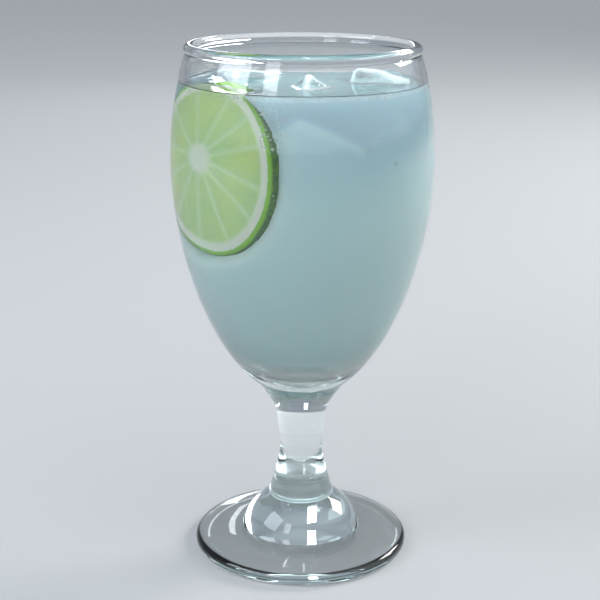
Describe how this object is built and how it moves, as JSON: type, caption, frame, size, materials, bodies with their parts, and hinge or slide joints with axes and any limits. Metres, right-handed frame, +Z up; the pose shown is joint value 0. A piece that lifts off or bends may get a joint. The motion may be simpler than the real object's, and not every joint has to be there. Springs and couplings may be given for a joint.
{
  "type": "glass of lemonade",
  "caption": "Footed glass goblet filled with cloudy lemonade, with ice and a wheel of lime standing in the drink against the glass.",
  "frame": {"origin": "centre of the foot, on the surface it stands on", "axes": "+Z up along the goblet's axis; the wheel of lime stands at the front left, towards -X and -Y, and -Y is the side that the picture shows"},
  "size_m": [0.086, 0.086, 0.173],
  "materials": {
    "glass": "clear polished glass with a faint blue-green tint at its edges",
    "lemonade": "pale cloudy grey-green drink, wet and smooth",
    "lime": "pale green wet flesh, white pith and a thin dark green rind",
    "ice": "clear wet ice, melted smooth"
  },
  "bodies": {
    "root": {"goblet": "glass", "lemonade": "lemonade", "lime_wheel": "lime", "ice_front": "ice", "ice_right": "ice", "ice_left": "ice"}
  },
  "joints": []
}
